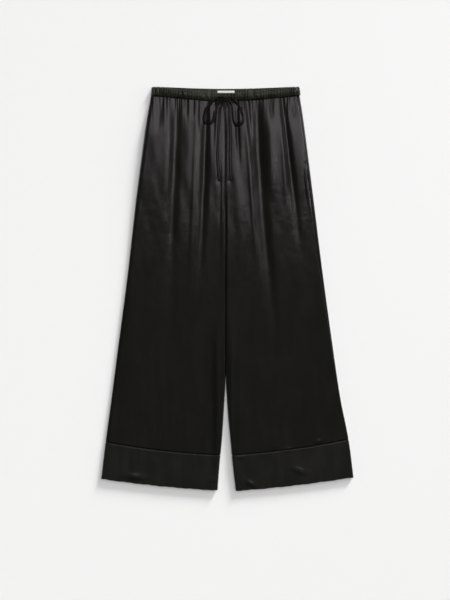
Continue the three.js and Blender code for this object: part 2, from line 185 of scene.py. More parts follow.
# Small dents and bulges of the hem bands and their seams, the pits that the cord's end knots press, and the
# one where the pocket's upper tack pulls
DENTS = [
    {"across": -234, "drop": 1012, "lift": 2.1, "wide": 24, "long": 8, "lean": 0.1},
    {"across": -33, "drop": 1020, "lift": 1.1, "wide": 9, "long": 6, "lean": -0.2},
    {"across": 192, "drop": 996, "lift": 1.9, "wide": 16, "long": 8, "lean": 0.3},
    {"across": 66, "drop": 1030, "lift": 1.8, "wide": 12, "long": 7, "lean": 0.4},
    {"across": 39, "drop": 962, "lift": 0.8, "wide": 11, "long": 5, "lean": 0},
    {"across": 161, "drop": 941, "lift": 1.0, "wide": 13, "long": 6, "lean": -0.2},
    {"across": 242, "drop": 920, "lift": 0.95, "wide": 12, "long": 6, "lean": -0.2},
    {"across": 128, "drop": 934, "lift": 0.5, "wide": 12, "long": 7, "lean": 0},
    {"across": -18, "drop": 243, "lift": -1.8, "wide": 6, "long": 4, "lean": 0},
    {"across": 12, "drop": 243, "lift": -1.8, "wide": 6, "long": 4, "lean": 0},
    {"across": 207, "drop": 202, "lift": -1.2, "wide": 3.4, "long": 4, "lean": 0},
]
# Short puckers that run down from the waist seam and along both edges of the hem band's seam, how far they
# reach, and the lengths over which their spacing wanders and their height fades
RELEASE = {"spacing": 9.5, "lift": 0.9, "reach": 26, "wander": (17, 6.3), "fade": 27}
HEM_PUCKER = {"spacing": 8.5, "lift": 0.3, "reach": 9, "wander": (23, 9.1), "fade": 31}
SEAM_GROOVE = {"depth": 1.4, "half": 1.4}
CENTRE_GROOVE = 0.35  # share of the groove that the front rise shows
UNDER_GROOVE = 0.2  # share of it that the flat underside keeps
# The rounded lip that the pressed edge of the pocket mouth keeps, at a distance from the mouth
LIP = {"at": 4.6, "half": 2.4, "lift": 1.3, "from": 203, "full": 214, "fades": 260}

# Where the drawcord lies on the front, as across and drop, and the shallow bed that it presses there
CORD = 4
KNOT = {"across": 0.5, "drop": 29, "radius": 5}
LEAVES = {
    "right": {"loop_out": 207, "loop_back": 160, "tail": 113},
    "left": {"loop_out": -27, "loop_back": 20, "tail": 67},
}
TAIL_ROUTES = {
    "right": [
        (-7, 44), (-13, 58), (-17.5, 78), (-19.5, 112),
        (-21, 164), (-20, 203), (-17.5, 228), (-16.4, 238),
    ],
    "left": [(7, 46), (10.5, 73), (11.9, 138), (11.3, 190), (12.2, 221), (13.6, 238)],
}
LOOP_ROUTES = {
    "right": [
        (-23, 29), (-41, 47), (-50, 63), (-55, 80), (-53, 91),
        (-44, 95), (-34, 92), (-29, 82), (-26, 66), (-19, 47),
    ],
    "left": [
        (20, 31), (38.5, 56), (46.5, 78), (45.5, 92), (36.5, 99.5),
        (26.5, 97), (21.5, 86), (19.5, 68), (17, 49),
    ],
}
CORD_STEP = 1.3  # mm between the points of a cord's middle line
CORD_BED = {"depth": 1.3, "half": 2.8, "aside": 1.2}


def smooth(value, low, high):
    share = np.clip((value - low) / (high - low), 0, 1)
    return share * share * (3 - 2 * share)


def mix(a, b, share):
    return a + (b - a) * share


def read_table(rows, column, drop):
    """Value of a column at each drop, on the smooth curve through its rows."""
    at = np.array([row["drop"] for row in rows], float)
    value = np.array([row[column] for row in rows], float)
    i = np.clip(np.searchsorted(at, drop, side="right"), 1, len(at) - 1)
    before, beyond = np.maximum(i - 2, 0), np.minimum(i + 1, len(at) - 1)
    span = at[i] - at[i - 1]
    t = np.clip((drop - at[i - 1]) / span, 0, 1)
    slope_a = span * (value[i] - value[before]) / (at[i] - at[before])
    slope_b = span * (value[beyond] - value[i - 1]) / (at[beyond] - at[i - 1])
    eased = mix(value[i - 1], value[i], t * t * (3 - 2 * t))
    return eased + t * (1 - t) * ((1 - t) * slope_a - t * slope_b)


def waist_dip(across):
    return np.maximum(0, 1 - (across / WAIST_ARC) ** 2) ** 1.5


def waist_seam(across, face):
    return WAIST_SEAM + SEAM_DIP[face] * waist_dip(across)


def hem_line(side, line, share):
    straight = mix(HEM[side][f"{line}_inner"], HEM[side][f"{line}_outer"], share)
    if line == "end":
        for wave in HEM_WAVES:
            straight = straight + wave["lift"] * np.sin(wave["turns"] * share + SIDES[side])
    return straight + HEM_BOW[line] * 4 * share * (1 - share)


def at_knot(side, stretch):
    angle = np.radians(LEAVES[side][stretch])
    away = KNOT["radius"] + SEAM
    return (KNOT["across"] + away * np.cos(angle), KNOT["drop"] + away * np.sin(angle))


def smooth_route(route):
    """Evenly spaced points on a smooth curve through a route of across and drop."""
    route = np.array(route, float)
    padded = np.vstack([2 * route[0] - route[1], route, 2 * route[-1] - route[-2]])
    fine = []
    for i in range(len(route) - 1):
        a, b, c, d = padded[i : i + 4]
        t = np.linspace(0, 1, 24, endpoint=False)[:, None]
        bends = (2 * a - 5 * b + 4 * c - d) * t**2 + (3 * b - a - 3 * c + d) * t**3
        fine.append(0.5 * (2 * b + (c - a) * t + bends))
    fine = np.vstack(fine + [route[-1:]])
    gone = np.concatenate([[0], np.cumsum(np.linalg.norm(np.diff(fine, axis=0), axis=1))])
    even = np.linspace(0, gone[-1], round(gone[-1] / CORD_STEP))
    return np.stack([np.interp(even, gone, fine[:, k]) for k in (0, 1)], axis=1)


def cord_plans(side):
    """The middle lines of a side's tail and loop, as across and drop."""
    return {
        "tail": smooth_route([at_knot(side, "tail"), *TAIL_ROUTES[side]]),
        "loop": smooth_route([at_knot(side, "loop_out"), *LOOP_ROUTES[side], at_knot(side, "loop_back")]),
    }


CORD_PLANS = {side: cord_plans(side) for side in SIDES}
CORD_SPOTS = np.concatenate([plan for plans in CORD_PLANS.values() for plan in plans.values()])


def cord_bed(across, drop):
    """How deep the cord presses the cloth, a little more on the side away from the light."""
    closest = np.full(across.shape, 1e6)
    for spot in CORD_SPOTS:
        away = (across - spot[0] + CORD_BED["aside"]) ** 2 + (drop - spot[1]) ** 2
        closest = np.minimum(closest, away)
    return CORD_BED["depth"] * np.exp(-closest / CORD_BED["half"] ** 2)


def front_height(across, drop):
    """Height of the middle of the solid front panel over the surface that the trousers lie on."""
    loft = read_table(LOFT, "loft", drop)
    for fold in FOLDS:
        along = np.clip((drop - WAIST_SEAM) / (fold["to"] - WAIST_SEAM), 0, 1)
        away = (across - mix(fold["at"], fold["end"], along ** fold["bend"])) / fold["half"]
        loft = loft * (1 - fold["cut"] * (1 - smooth(along, FOLD_HOLDS, 1)) * np.exp(-away * away))
    return CLOTH + SEAM + loft + CLOTH / 2


def fine_relief(across, drop):
    """What the creases, swells, dents and puckers add to the front, and what the cord presses down."""
    relief = np.zeros_like(across)
    for crease in CREASES:
        along = np.clip((drop - crease["from"]) / (crease["to"] - crease["from"]), 0, 1)
        away = (across - mix(crease["at"], crease["end"], along)) / crease["half"]
        relief += crease["lift"] * np.sin(np.pi * along) ** 0.8 * np.exp(-away * away)
    fade = mix(1, SWELLS_FADE["left"], smooth(drop, SWELLS_FADE["from"], SWELLS_FADE["to"]))
    for swell in SWELLS:
        start = swell["start"]
        one = 2 * np.pi * across / swell["across"] + 0.9 * np.sin(drop / SWELLS_WANDER["down"] + start)
        other = 2 * np.pi * drop / swell["down"] + 1.3 * np.sin(across / SWELLS_WANDER["across"] + 2 * start)
        relief += fade * swell["lift"] * np.sin(one + start) * np.sin(other)
    for dent in DENTS:
        along, down = across - dent["across"], drop - dent["drop"]
        down = down - dent["lean"] * along
        relief += dent["lift"] * np.exp(-((along / dent["wide"]) ** 2) - (down / dent["long"]) ** 2)
    share = np.clip(np.abs(across) / LEG_WIDTH, 0, 1)
    seam = np.where(across < 0, hem_line("right", "seam", share), hem_line("left", "seam", share))
    near = np.exp(-np.abs(drop - seam) / HEM_PUCKER["reach"])
    slow, quick = HEM_PUCKER["wander"]
    turns = 2 * np.pi * across / HEM_PUCKER["spacing"] + 1.6 * np.sin(across / slow) + np.sin(across / quick)
    uneven = 0.6 + 0.4 * np.sin(across / HEM_PUCKER["fade"])
    relief += HEM_PUCKER["lift"] * near * np.sin(turns) * uneven
    grown = smooth(drop, INNER_SWELL["from"], INNER_SWELL["to"])
    grown = grown * mix(1, INNER_SWELL["left"], smooth(drop, INNER_SWELL["to"], LENGTH))
    away = (np.abs(across) - INNER_SWELL["at"]) / INNER_SWELL["half"]
    relief += INNER_SWELL["lift"] * grown * np.exp(-away * away)
    hips = smooth(-across, HIP_SWELL["right"], HIP_SWELL["right"] + HIP_SWELL["soft"])
    hips = hips + smooth(across, HIP_SWELL["left"], HIP_SWELL["left"] + HIP_SWELL["soft"])
    risen = smooth(drop, WAIST_SEAM, HIP_SWELL["top"]) * (1 - smooth(drop, HIP_SWELL["top"], HIP_SWELL["to"]))
    relief += HIP_SWELL["lift"] * hips * risen
    slow, quick = RELEASE["wander"]
    turns = across / RELEASE["spacing"] + 0.6 * np.sin(across / slow) + 0.3 * np.sin(across / quick)
    below = np.maximum(drop - waist_seam(across, "front"), 0) / RELEASE["reach"]
    uneven = 0.6 + 0.4 * np.sin(across / RELEASE["fade"] + 1)
    relief += RELEASE["lift"] * uneven * np.sin(2 * np.pi * turns) * np.exp(-below)
    return relief - cord_bed(across, drop)


def leg_point(side, drop, station, wall):
    """Middle of a leg's wall and its normal, in a section across the garment: -1 is the inseam, 0 to 1 the
    front, 2 the side edge, 3 to 4 the back, and 5 the inseam again."""
    sign = SIDES[side]
    half = wall / 2
    edge = read_table(OUTLINE, side, drop) - half
    inner = read_table(INSEAM, side, drop)

    def level(across):
        return front_height(sign * across, drop) + half - CLOTH / 2

    def roll_of(widest, across):
        radius = (level(across) - half) / 2
        return np.minimum(widest, BEND_SHARE * radius * radius / half)

    outer_roll = roll_of(ROLL, edge - ROLL)
    inner_roll = roll_of(INNER_ROLL, inner + INNER_ROLL)
    start, to = inner + inner_roll + half, edge - outer_roll

    def over(across):
        slope = (level(across + 1) - level(across - 1)) / 2
        long = np.hypot(slope, 1)
        return np.stack([across, level(across), -slope / long, 1 / long])

    def under(across):
        flat = np.zeros_like(across)
        return np.stack([across, flat + half, flat, flat - 1])

    def bend(centre, roll, way, angle):
        top = level(centre)
        radius = (top - half) / 2
        across, up = way * np.cos(angle) / roll, np.sin(angle) / radius
        long = np.hypot(across, up)
        middle = centre + way * roll * np.cos(angle)
        return np.stack([middle, (top + half) / 2 + radius * np.sin(angle), across / long, up / long])

    def inside(turned, front):
        across = mix(start, inner, turned)
        flat = over(across) if front else under(across)
        angle = np.radians(90 * (1 - turned)) * (1 if front else -1)
        wrap = smooth(drop, CREASE_TOP, CREASE_TOP + CROTCH_EASE)
        return mix(flat, bend(start, inner_roll, -1, angle), wrap)

    found = np.select(
        [station <= 0, station <= 1, station < 3, station < 4],
        [
            inside(-station, True),
            over(mix(start, to, station)),
            bend(to, outer_roll, 1, np.radians(90 * (2 - station))),
            under(mix(to, start, station - 3)),
        ],
        inside(station - 4, False),
    )
    long = np.hypot(found[2], found[3])
    return sign * found[0], found[1], sign * found[2] / long, found[3] / long


def pocket_mouth(drop):
    """How far the pocket mouth is open, from 0 to 1."""
    opening = smooth(drop, POCKET["from"], POCKET["from"] + POCKET["opens"])
    return opening * (1 - smooth(drop, POCKET["to"] - POCKET["closes"], POCKET["to"]))


def seam_station(side, drop, face):
    """Station of the side seam, on the edge of the front or of the back panel."""
    turn = SEAM_TURN[side] * (1 - smooth(drop, *TURN_ENDS))
    radius = (front_height(SIDES[side] * (read_table(OUTLINE, side, drop) - ROLL), drop) - CLOTH / 2) / 2
    angle = np.radians(turn)
    stretch = np.hypot(ROLL * np.sin(angle), radius * np.cos(angle))
    gape = POCKET["gape"] * pocket_mouth(drop) if side == "left" and face == "front" else 0
    away = gape / stretch / np.radians(90)
    return 2 - turn / 90 + (-away if face == "front" else away)


def crowded(count, ends):
    """Shares from 0 to 1 that lie closer together near both ends."""
    even = np.linspace(0, 1, count)
    return even - ends * np.sin(2 * np.pi * even) / (2 * np.pi)


def along_grid(points, axis):
    """Distance of each point of a grid from its first and from its last point along one axis."""
    steps = np.linalg.norm(np.diff(points, axis=axis), axis=-1)
    gone = np.insert(np.cumsum(steps, axis=axis), 0, 0, axis=axis)
    return gone, np.take(gone, [-1], axis=axis) - gone


def groove(distance):
    return SEAM_GROOVE["depth"] * np.exp(-((distance / SEAM_GROOVE["half"]) ** 2))


def wall_piece(name, outer, inner, flip):
    """A closed sheet between two grids of points, in mm from the front crease."""
    rows, columns = outer.shape[:2]
    number = np.arange(2 * rows * columns).reshape(2, rows, columns)
    top, under = number

    def quads(a, b, c, d):
        return np.stack([a.ravel(), b.ravel(), c.ravel(), d.ravel()], axis=1)

    faces = [
        quads(top[:-1, :-1], top[1:, :-1], top[1:, 1:], top[:-1, 1:]),
        quads(under[:-1, :-1], under[:-1, 1:], under[1:, 1:], under[1:, :-1]),
        quads(top[:-1, 0], under[:-1, 0], under[1:, 0], top[1:, 0]),
        quads(top[1:, -1], under[1:, -1], under[:-1, -1], top[:-1, -1]),
        quads(top[0, 1:], under[0, 1:], under[0, :-1], top[0, :-1]),
        quads(top[-1, :-1], under[-1, :-1], under[-1, 1:], top[-1, 1:]),
    ]
    faces = np.concatenate(faces)
    if flip:
        faces = faces[:, ::-1]
    points = np.concatenate([outer.reshape(-1, 3), inner.reshape(-1, 3)]) + (MIDDLE, 0, 0)
    mesh = bpy.data.meshes.new(name)
    mesh.from_pydata(points * MM, [], faces)
    mesh.shade_smooth()
    piece = bpy.data.objects.new(name, mesh)
    bpy.context.collection.objects.link(piece)
    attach(piece, "root")
    return piece


def leg_sheet(side, face, wall, thick, shares, top, bottom, edge_radius=0):
    """Outer and inner grids of a panel between two lines across a leg, in the solid's outer side. Its lower
    end is a fold where it has an edge radius, and otherwise a seam."""
    down, stations = shares
    front = face == "front"
    end = seam_station(side, np.array([float(CROTCH)]), face)[0]
    share = np.clip(stations, 0, 1) if front else np.clip(4 - stations, 0, 1)
    drop = mix(top(share)[None, :], bottom(share)[None, :], down[:, None])
    seam = seam_station(side, drop, face)
    flat_end = 1 if front else 3
    outer_roll = (stations > 1) if front else (stations < 3)
    reach = (stations - flat_end) / (end - flat_end)
    station = np.where(outer_roll, flat_end + reach * (seam - flat_end), stations)
    across, height, normal_x, normal_z = leg_point(side, drop, station, wall)
    relief = np.zeros_like(drop)
    if front:
        relief += fine_relief(across, drop) * np.clip(normal_z, 0, 1)
    outward = np.stack([normal_x, np.zeros_like(drop), normal_z], axis=-1)
    points = np.stack([across, LENGTH / 2 - drop, height], axis=-1)
    points = points + outward * (wall / 2 + relief)[..., None]
    from_top, from_bottom = along_grid(points, 0)
    from_inner, from_outer = along_grid(points, 1)
    centre = CENTRE_GROOVE * (1 - smooth(drop, CROTCH - CROTCH_EASE, CROTCH))
    turned = groove(from_top) + centre * groove(from_inner) + groove(from_outer)
    if edge_radius:
        short = np.clip(edge_radius - from_bottom, 0, edge_radius)
        turned += edge_radius - np.sqrt(edge_radius * edge_radius - short * short)
    else:
        turned += groove(from_bottom)
    if front and side == "left":
        lip = smooth(drop, LIP["from"], LIP["full"]) * (1 - smooth(drop, LIP["fades"], POCKET["to"]))
        turned -= LIP["lift"] * lip * np.exp(-(((from_outer - LIP["at"]) / LIP["half"]) ** 2))
    if not front:
        turned *= mix(UNDER_GROOVE, 1, smooth(height, CLOTH, 2 * CLOTH))
    points = points - outward * turned[..., None]
    return points, points - outward * thick


def panel_stations(face, side, flat_columns, inner_columns=9, outer_columns=14):
    """Stations across a panel, from its inner edge to its side seam."""
    end = seam_station(side, np.array([float(CROTCH)]), face)[0]
    if face == "front":
        stops = (-1, 0, 1, end)
    else:
        stops = (5, 4, 3, end)
    counts = (inner_columns, flat_columns, outer_columns)
    runs = [np.linspace(a, b, n, endpoint=False) for a, b, n in zip(stops, stops[1:], counts)]
    return np.concatenate(runs + [np.array([end])])


def linear(hex_colour):
    """Linear colour of an sRGB hex value."""
    channels = [int(hex_colour[i : i + 2], 16) / 255 for i in (1, 3, 5)]
    return [c / 12.92 if c <= 0.04045 else ((c + 0.055) / 1.055) ** 2.4 for c in channels] + [1]


def add(tree, kind, inputs=(), **settings):
    """A shader node with its settings, and with its inputs set or linked."""
    node = tree.nodes.new(kind)
    for name, value in settings.items():
        setattr(node, name, value)
    for name, value in dict(inputs).items():
        if isinstance(value, bpy.types.NodeSocket):
            tree.links.new(value, node.inputs[name])
        else:
            node.inputs[name].default_value = value
    return node


def bump_of(tree, height, strength, depth_mm, under=None):
    """A bump of a depth in mm, laid over another bump if there is one."""
    inputs = {"Height": height, "Strength": strength, "Distance": depth_mm * MM}
    if under is not None:
        inputs["Normal"] = under
    return add(tree, "ShaderNodeBump", inputs).outputs["Normal"]


def new_material(name):
    material = bpy.data.materials.new(name)
    material.use_nodes = True
    tree = material.node_tree
    return material, tree, tree.nodes["Principled BSDF"]


WAVE_PERIOD = 0.314  # m between the lines of a wave texture of scale 1
FLOAT_SPREAD = 0.75  # from 0 for an even sheen to 1 for one that spreads across the floats alone


def wave_scale(spacing_mm):
    return WAVE_PERIOD / (spacing_mm * MM)


def black_satin(name, light, dark, roughness, crumple, streak):
    """Viscose satin, piece-dyed black. Its long floats of smooth thread run down the cloth, so they spread a
    light sideways and mirror it sharply lengthways: the eye gets a soft sheen that ends in ragged patches."""
    material, tree, shader = new_material(name)
    place = add(tree, "ShaderNodeTexCoord").outputs["Object"]
    # Cloudy patches some 70 mm wide, and streaks 17 mm wide that run seven times as far down the cloth
    down_cloth = add(tree, "ShaderNodeMapping", {"Vector": place, "Scale": (1, 0.14, 1)}).outputs["Vector"]
    cloudy = add(tree, "ShaderNodeTexNoise", {"Vector": place, "Scale": 14, "Detail": 3}).outputs["Fac"]
    streaky = add(tree, "ShaderNodeTexNoise", {"Vector": down_cloth, "Scale": 60, "Detail": 2}).outputs["Fac"]
    tone = add(tree, "ShaderNodeMath", {0: cloudy, 1: streaky}, operation="MULTIPLY").outputs[0]
    levels = {"Value": tone, "From Min": 0.15, "From Max": 0.4}
    ramp = add(tree, "ShaderNodeMapRange", levels).outputs["Result"]
    colour = add(tree, "ShaderNodeMix", {"Factor": ramp}, data_type="RGBA")
    colour.inputs[6].default_value = linear(dark)
    colour.inputs[7].default_value = linear(light)
    tree.links.new(colour.outputs[2], shader.inputs["Base Color"])
    shader.inputs["Roughness"].default_value = roughness
    shader.inputs["IOR"].default_value = 1.52
    shader.inputs["Anisotropic"].default_value = FLOAT_SPREAD
    across_floats = add(tree, "ShaderNodeCombineXYZ", {"X": 1}).outputs["Vector"]
    tree.links.new(across_floats, shader.inputs["Tangent"])

    # Threads of satin are 0.1 mm apart, too fine to show here, so they are drawn 0.7 mm apart
    thread_mm = 0.7
    lines = {"Vector": place, "Scale": wave_scale(thread_mm), "Distortion": 1.2}
    threads = add(tree, "ShaderNodeTexWave", lines).outputs["Fac"]
    lumps = {"Vector": place, "Scale": 38, "Detail": 4, "Roughness": 0.5}
    soft = add(tree, "ShaderNodeTexNoise", lumps).outputs["Fac"]
    bump = bump_of(tree, threads, 0.06, 0.1)
    bump = bump_of(tree, streaky, 0.35, streak, bump)
    bump = bump_of(tree, soft, 0.5, crumple, bump)
    tree.links.new(bump, shader.inputs["Normal"])
    return material


leg_satin = black_satin(
    "black_viscose_satin", "#131311", "#0f0f0d", roughness=0.232, crumple=0.7, streak=0.25
)
for face, flat_columns, row_count in (("back", 70, 110), ("front", 128, 210)):
    for side in SIDES:
        stations = panel_stations(face, side, flat_columns)

        def waist_line(share):
            reach = read_table(OUTLINE, side, np.array([WAIST_SEAM]))[0] - ROLL
            return waist_seam(mix(INNER_ROLL, reach, share), face)

        def band_line(share):
            return hem_line(side, "seam", share)

        outer, inner = leg_sheet(
            side, face, CLOTH, SATIN_THICK, (crowded(row_count, 0.88), stations), waist_line, band_line
        )
        name = f"{face}_leg_{side}"
        panel = wall_piece(f"satin_{name}", outer, inner, flip=(side == "right") != (face == "back"))
        panel.data.materials.append(leg_satin)
        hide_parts(name)

# Hem bands
# A deep band of the same satin, folded double, pressed and sewn round the foot of each leg. Its seam pulls in
# a little and puckers, and the fold at its lower edge is soft.
HEM_CLOTH = 2  # wall of the solid bands
HEM_THICK = 1.5
HEM_EDGE = 0.95  # radius of the fold at the lower edge

# Its base colour is lighter than the legs' satin: painted sheen, for the light that the pressed double cloth
# gives back.
band_satin_painted_sheen = black_satin(
    "pressed_satin_painted_sheen", "#1a1a18", "#141413", roughness=0.27, crumple=1.0, streak=0.25
)
for face, flat_columns, row_count in (("back", 70, 26), ("front", 150, 44)):
    for side in SIDES:
        stations = panel_stations(face, side, flat_columns, 9, 10)
        outer, inner = leg_sheet(
            side,
            face,
            HEM_CLOTH,
            HEM_THICK,
            (crowded(row_count, 0.8), stations),
            lambda share: hem_line(side, "seam", share),
            lambda share: hem_line(side, "end", share),
            edge_radius=HEM_EDGE,
        )
        name = f"hem_band_{face}_{side}"
        band = wall_piece(f"satin_{name}", outer, inner, flip=(side == "right") != (face == "back"))
        band.data.materials.append(band_satin_painted_sheen)
        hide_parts(name)

# Pocket
# An in-seam pocket in the left side seam. Its mouth gapes a little over the strip of satin that faces it, and
# a short bar of close zigzag stitches holds each of its ends.
FACING_SINKS = 1.4
FACING_STATIONS = (0.99, 1.5)
BAR_TACK = {"long": 7, "wide": 1.7, "turns": 11, "thread": 0.5, "off_seam": 3.2}
rows = np.linspace(POCKET["from"] - POCKET["past"], POCKET["to"] + POCKET["past"], 60)[:, None]
station = np.linspace(*FACING_STATIONS, 16)[None, :]
drop, station = np.broadcast_arrays(rows, station)
across, height, normal_x, normal_z = leg_point("left", drop, station, CLOTH)
outward = np.stack([normal_x, np.zeros_like(drop), normal_z], axis=-1)
sunk = CLOTH / 2 + SEAM + FACING_SINKS * pocket_mouth(drop)
points = np.stack([across, LENGTH / 2 - drop, height], axis=-1) - outward * sunk[..., None]
facing = wall_piece("satin_pocket_facing_left", points, points - outward * SATIN_THICK, flip=False)
facing.data.materials.append(leg_satin)
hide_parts("pocket_facing_left")


def round_cord(name, points, thickness, closed=False):
    """A round cord along points, all in metres."""
    data = bpy.data.curves.new(name, "CURVE")
    data.dimensions = "3D"
    data.bevel_depth = thickness / 2
    data.bevel_resolution = 4
    data.use_fill_caps = True
    spline = data.splines.new("POLY")
    spline.points.add(len(points) - 1)
    for point, place in zip(spline.points, points):
        point.co = (*place, 1)
    spline.use_cyclic_u = closed
    tube = bpy.data.objects.new(name + "_line", data)
    mesh = bpy.data.meshes.new_from_object(tube)
    bpy.data.objects.remove(tube)
    mesh.name = name
    mesh.shade_smooth()
    cord = bpy.data.objects.new(name, mesh)
    bpy.context.collection.objects.link(cord)
    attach(cord, "root")
    return cord


def black_thread():
    """Black core-spun polyester sewing thread. Its tight twist leaves a faint dry shine. The twist is drawn
    twice as coarse as it is."""
    material, tree, shader = new_material("black_sewing_thread")
    place = add(tree, "ShaderNodeTexCoord").outputs["Object"]
    twist_mm = 0.4
    lines = {"Vector": place, "Scale": wave_scale(twist_mm)}
    twist = add(tree, "ShaderNodeTexWave", lines, bands_direction="DIAGONAL").outputs["Fac"]
    tree.links.new(bump_of(tree, twist, 0.4, 0.1), shader.inputs["Normal"])
    shader.inputs["Base Color"].default_value = linear("#0c0b0b")
    shader.inputs["Roughness"].default_value = 0.55
    return material


def zigzag(name, middle, along, wide, tack, material):
    """A bar of close zigzag stitches round a middle point, with its long and its short direction, in mm."""
    step = np.arange(2 * tack["turns"] + 1)
    share = (step / step[-1] - 0.5)[:, None]
    swing = np.where(step % 2 == 0, -0.5, 0.5)[:, None]
    flat = middle + along * share * tack["long"] + wide * swing * tack["wide"]
    rise = np.cross(along, wide)
    fine = []
    for a, b in zip(flat, flat[1:]):
        for t in (0, 0.2, 0.5, 0.8):
            fine.append(mix(a, b, t) + rise * tack["thread"] * (np.sin(np.pi * t) - 0.3))
    bar = round_cord(name, np.array(fine + [flat[-1]]) * MM, tack["thread"] * MM)
    bar.data.materials.append(material)
    return bar


sewing_thread = black_thread()
for end, drop in (("top", POCKET["from"] - 1), ("low", POCKET["to"] + 1)):
    rows = np.array([float(drop)])
    station = seam_station("left", rows, "back")
    across, height, normal_x, normal_z = leg_point("left", rows, station, CLOTH)
    slope = np.array([normal_z[0], 0, -normal_x[0]])
    surface = np.array([across[0] + MIDDLE, LENGTH / 2 - drop, height[0]])
    surface = surface + np.array([normal_x[0], 0, normal_z[0]]) * (CLOTH / 2 + BAR_TACK["thread"] / 3)
    middle = surface - slope * BAR_TACK["off_seam"]
    zigzag(f"bar_tack_{end}", middle, slope, np.array([0, 1.0, 0]), BAR_TACK, sewing_thread)

# Label
# A bare strip of white woven polyester tape. It is sewn by its ends inside the back of the waist, where it
# holds the gathers flat.
LABEL_SIZE = (44, 6, 0.6)
LABEL_ACROSS = 0.9
LABEL_DROP = 13.3
LABEL_ROOM = 2  # the gathers end this far from the label's ends


def woven_tape():
    """White polyester satin tape. Its close ribs give the eye a clean, slightly silky white."""
    material, tree, shader = new_material("white_woven_tape")
    place = add(tree, "ShaderNodeTexCoord").outputs["Object"]
    rib_mm = 0.5
    ribs = add(tree, "ShaderNodeTexWave", {"Vector": place, "Scale": wave_scale(rib_mm)}).outputs["Fac"]
    soil = add(tree, "ShaderNodeTexNoise", {"Vector": place, "Scale": 90}).outputs["Fac"]
    colour = add(tree, "ShaderNodeMix", {"Factor": soil}, data_type="RGBA")
    colour.inputs[6].default_value = linear("#e4e3df")
    colour.inputs[7].default_value = linear("#d6d5cf")
    tree.links.new(colour.outputs[2], shader.inputs["Base Color"])
    shader.inputs["Roughness"].default_value = 0.6
    tree.links.new(bump_of(tree, ribs, 0.3, 0.1), shader.inputs["Normal"])
    return material


across = np.linspace(-0.5, 0.5, 45)[None, :] * LABEL_SIZE[0] + LABEL_ACROSS
drop = np.linspace(-0.5, 0.5, 13)[:, None] * LABEL_SIZE[1] + LABEL_DROP
across, drop = np.broadcast_arrays(across, drop)
lifted = 0.12 * np.sin(across / 5.2) + 0.08 * np.sin(across / 2.1 + drop / 3)
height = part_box("waist_label")[0][2] / MM + LABEL_SIZE[2] + lifted
points = np.stack([across, LENGTH / 2 - drop, height], axis=-1)
label = wall_piece("woven_waist_label", points, points - (0, 0, LABEL_SIZE[2]), flip=False)
label.data.materials.append(woven_tape())
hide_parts("waist_label")

# Waistband
# A casing of the same satin round a 20 mm elastic, which draws it up into close, uneven gathers. Its top edge
# is a soft fold, and its lower edge is sewn to the gathered legs.
CASING = 3  # wall of the solid waistband
EDGE_DIP = {"front": 15.4, "back": 5.2}  # how far the waist edge is lower in the middle
EDGE_DROP = {"front": 1, "back": 0}
BAND_LEVEL = {"front": 5.8, "back": CASING / 2}  # heights of the middle of the casing
PUFF = 1.9  # how far the casing swells between its edges
RISES = (-0.05, 0.16)  # shares of its width over which it swells up from the top edge
FALLS = (0.5, 1.04)  # the casing is full down to its middle and falls away to the seam below it
EDGE_BUMP = 0.3  # how far each gather pushes the top edge up, as a share of its height
GATHERS = 47
GATHER_RISE = 1.5
GATHER_WANDERS = [
    {"turns": 0.9, "length": 145, "start": 0},
    {"turns": 0.5, "length": 60, "start": 2},
]
GATHER_FADE = {"share": 0.35, "length": 195, "start": 1}
GATHER_LEAN = {"turns": 0.12, "down": 2.5, "length": 11}
FINE_GATHER = {"share": 0.8, "ratio": 2.1, "turns": 0.3, "down": 4, "length": 7}
FINE_FADE = {"share": 0.45, "down": 9, "length": 4.3}
BAND_EDGE = 1.3  # radius of the fold at the top edge
BAND_ROWS = 30
BAND_FLAT_COLUMNS = 520
BAND_ROLL_COLUMNS = 10
INSIDE_SHARE = 0.6  # how deep the gathers are on the inside of the back, as a share
INSIDE_LOWEST = -0.6
FOLD_INSIDE = 0.7  # share of the top fold that the hidden side of a wall follows


def waist_edge(across, face):
    return EDGE_DROP[face] + EDGE_DIP[face] * waist_dip(across)


def gather_rise(across, down):
    """Height of the gathers: rounded ridges with tight valleys, which lean and change between the edges."""

    def wave(row):
        return np.sin(2 * np.pi * across / row["length"] + row["start"])

    def lean(row):
        return np.sin(row["down"] * down + across / row["length"])

    turns = GATHERS * across / (2 * OUTLINE[0]["right"]) + GATHER_LEAN["turns"] * lean(GATHER_LEAN)
    for wander in GATHER_WANDERS:
        turns = turns + wander["turns"] * wave(wander)
    depth = 1 - GATHER_FADE["share"] * (1 - wave(GATHER_FADE))
    main = 2 * np.abs(np.sin(np.pi * turns)) - 1
    fine_turns = FINE_GATHER["ratio"] * turns + FINE_GATHER["turns"] * lean(FINE_GATHER)
    fine = np.sin(2 * np.pi * fine_turns) * (1 - FINE_FADE["share"] * (1 - lean(FINE_FADE)))
    return GATHER_RISE * depth * (main + FINE_GATHER["share"] * fine)


